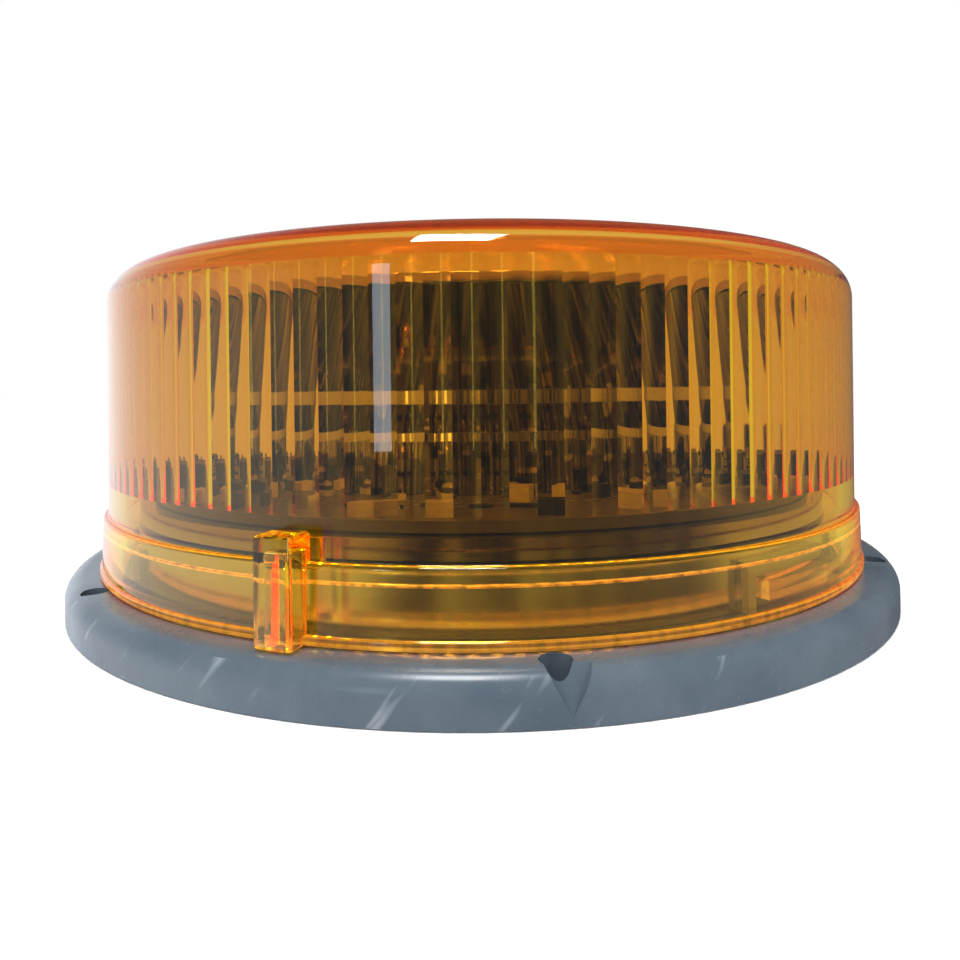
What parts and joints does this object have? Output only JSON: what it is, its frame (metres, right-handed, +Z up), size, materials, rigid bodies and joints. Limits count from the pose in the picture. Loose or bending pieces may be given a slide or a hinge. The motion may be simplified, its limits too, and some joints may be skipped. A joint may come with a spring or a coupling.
{
  "type": "rotating beacon",
  "caption": "Low amber LED warning beacon: fluted twist-lock lens over a dark stepped reflector, on a round flange with fixing holes.",
  "frame": {"origin": "centre of the foot, on the underside of the mounting gasket", "axes": "+Z up the beacon's axis, -Y to the front, +X to the right as seen from the front"},
  "size_m": [0.1636, 0.1636, 0.061],
  "materials": {
    "housing_plastic": "semi-gloss blue-grey moulding",
    "foam_rubber": "closed-cell foam",
    "seal_rubber": "smooth black rubber",
    "breather_plastic": "matt",
    "amber_lens": "polished amber polycarbonate",
    "plate_aluminium": "bare, machined",
    "pad_silicone": "matt grey silicone",
    "board_laminate": "dark solder mask",
    "dark_metallised": "smoky vacuum-metallised plastic",
    "zinc_steel": "bright zinc",
    "led_body": "white package with phosphor",
    "led_silicone": "clear dome",
    "tantalum_case": "moulded yellow",
    "ceramic_case": "tan ceramic",
    "black_epoxy": "moulded epoxy",
    "tinned_metal": "tinned",
    "ferrite": "matt ferrite",
    "can_aluminium": "drawn can",
    "seat_plastic": "moulded",
    "terminal_plastic": "moulded green",
    "fuse_glass": "clear tube"
  },
  "bodies": {
    "base": {"base_housing": "housing_plastic", "mounting_gasket": "foam_rubber", "lens_seal": "seal_rubber", "cable_grommet": "seal_rubber", "breather_plug": "breather_plastic", "heat_sink_plate": "plate_aluminium", "thermal_pad": "pad_silicone", "circuit_board": "board_laminate", "reflector_screw": "zinc_steel", "board_screws": "zinc_steel", "inner_leds": "led_body", "inner_led_domes": "led_silicone", "outer_leds": "led_body", "outer_led_domes": "led_silicone", "reflector_cone": "dark_metallised", "tantalum_capacitors": "tantalum_case", "ceramic_capacitors": "ceramic_case", "rectifier_diodes": "black_epoxy", "chip_resistors": "black_epoxy", "switching_transistors": "black_epoxy", "transistor_tabs": "tinned_metal", "power_inductors": "ferrite", "electrolytic_capacitors": "can_aluminium", "capacitor_seats": "seat_plastic", "controller_chip": "black_epoxy", "controller_legs": "tinned_metal", "terminal_block": "terminal_plastic", "terminal_screws": "zinc_steel", "fuse_tube": "fuse_glass", "fuse_caps": "tinned_metal", "fuse_clips": "tinned_metal"},
    "lens": {"lens": "amber_lens"}
  },
  "joints": [
    {"name": "lens_turn", "type": "hinge", "parent": "base", "child": "lens", "pos_m": [0, 0, 0.0069], "axis": [0, 0, 1], "range_deg": [0, 15]}
  ]
}
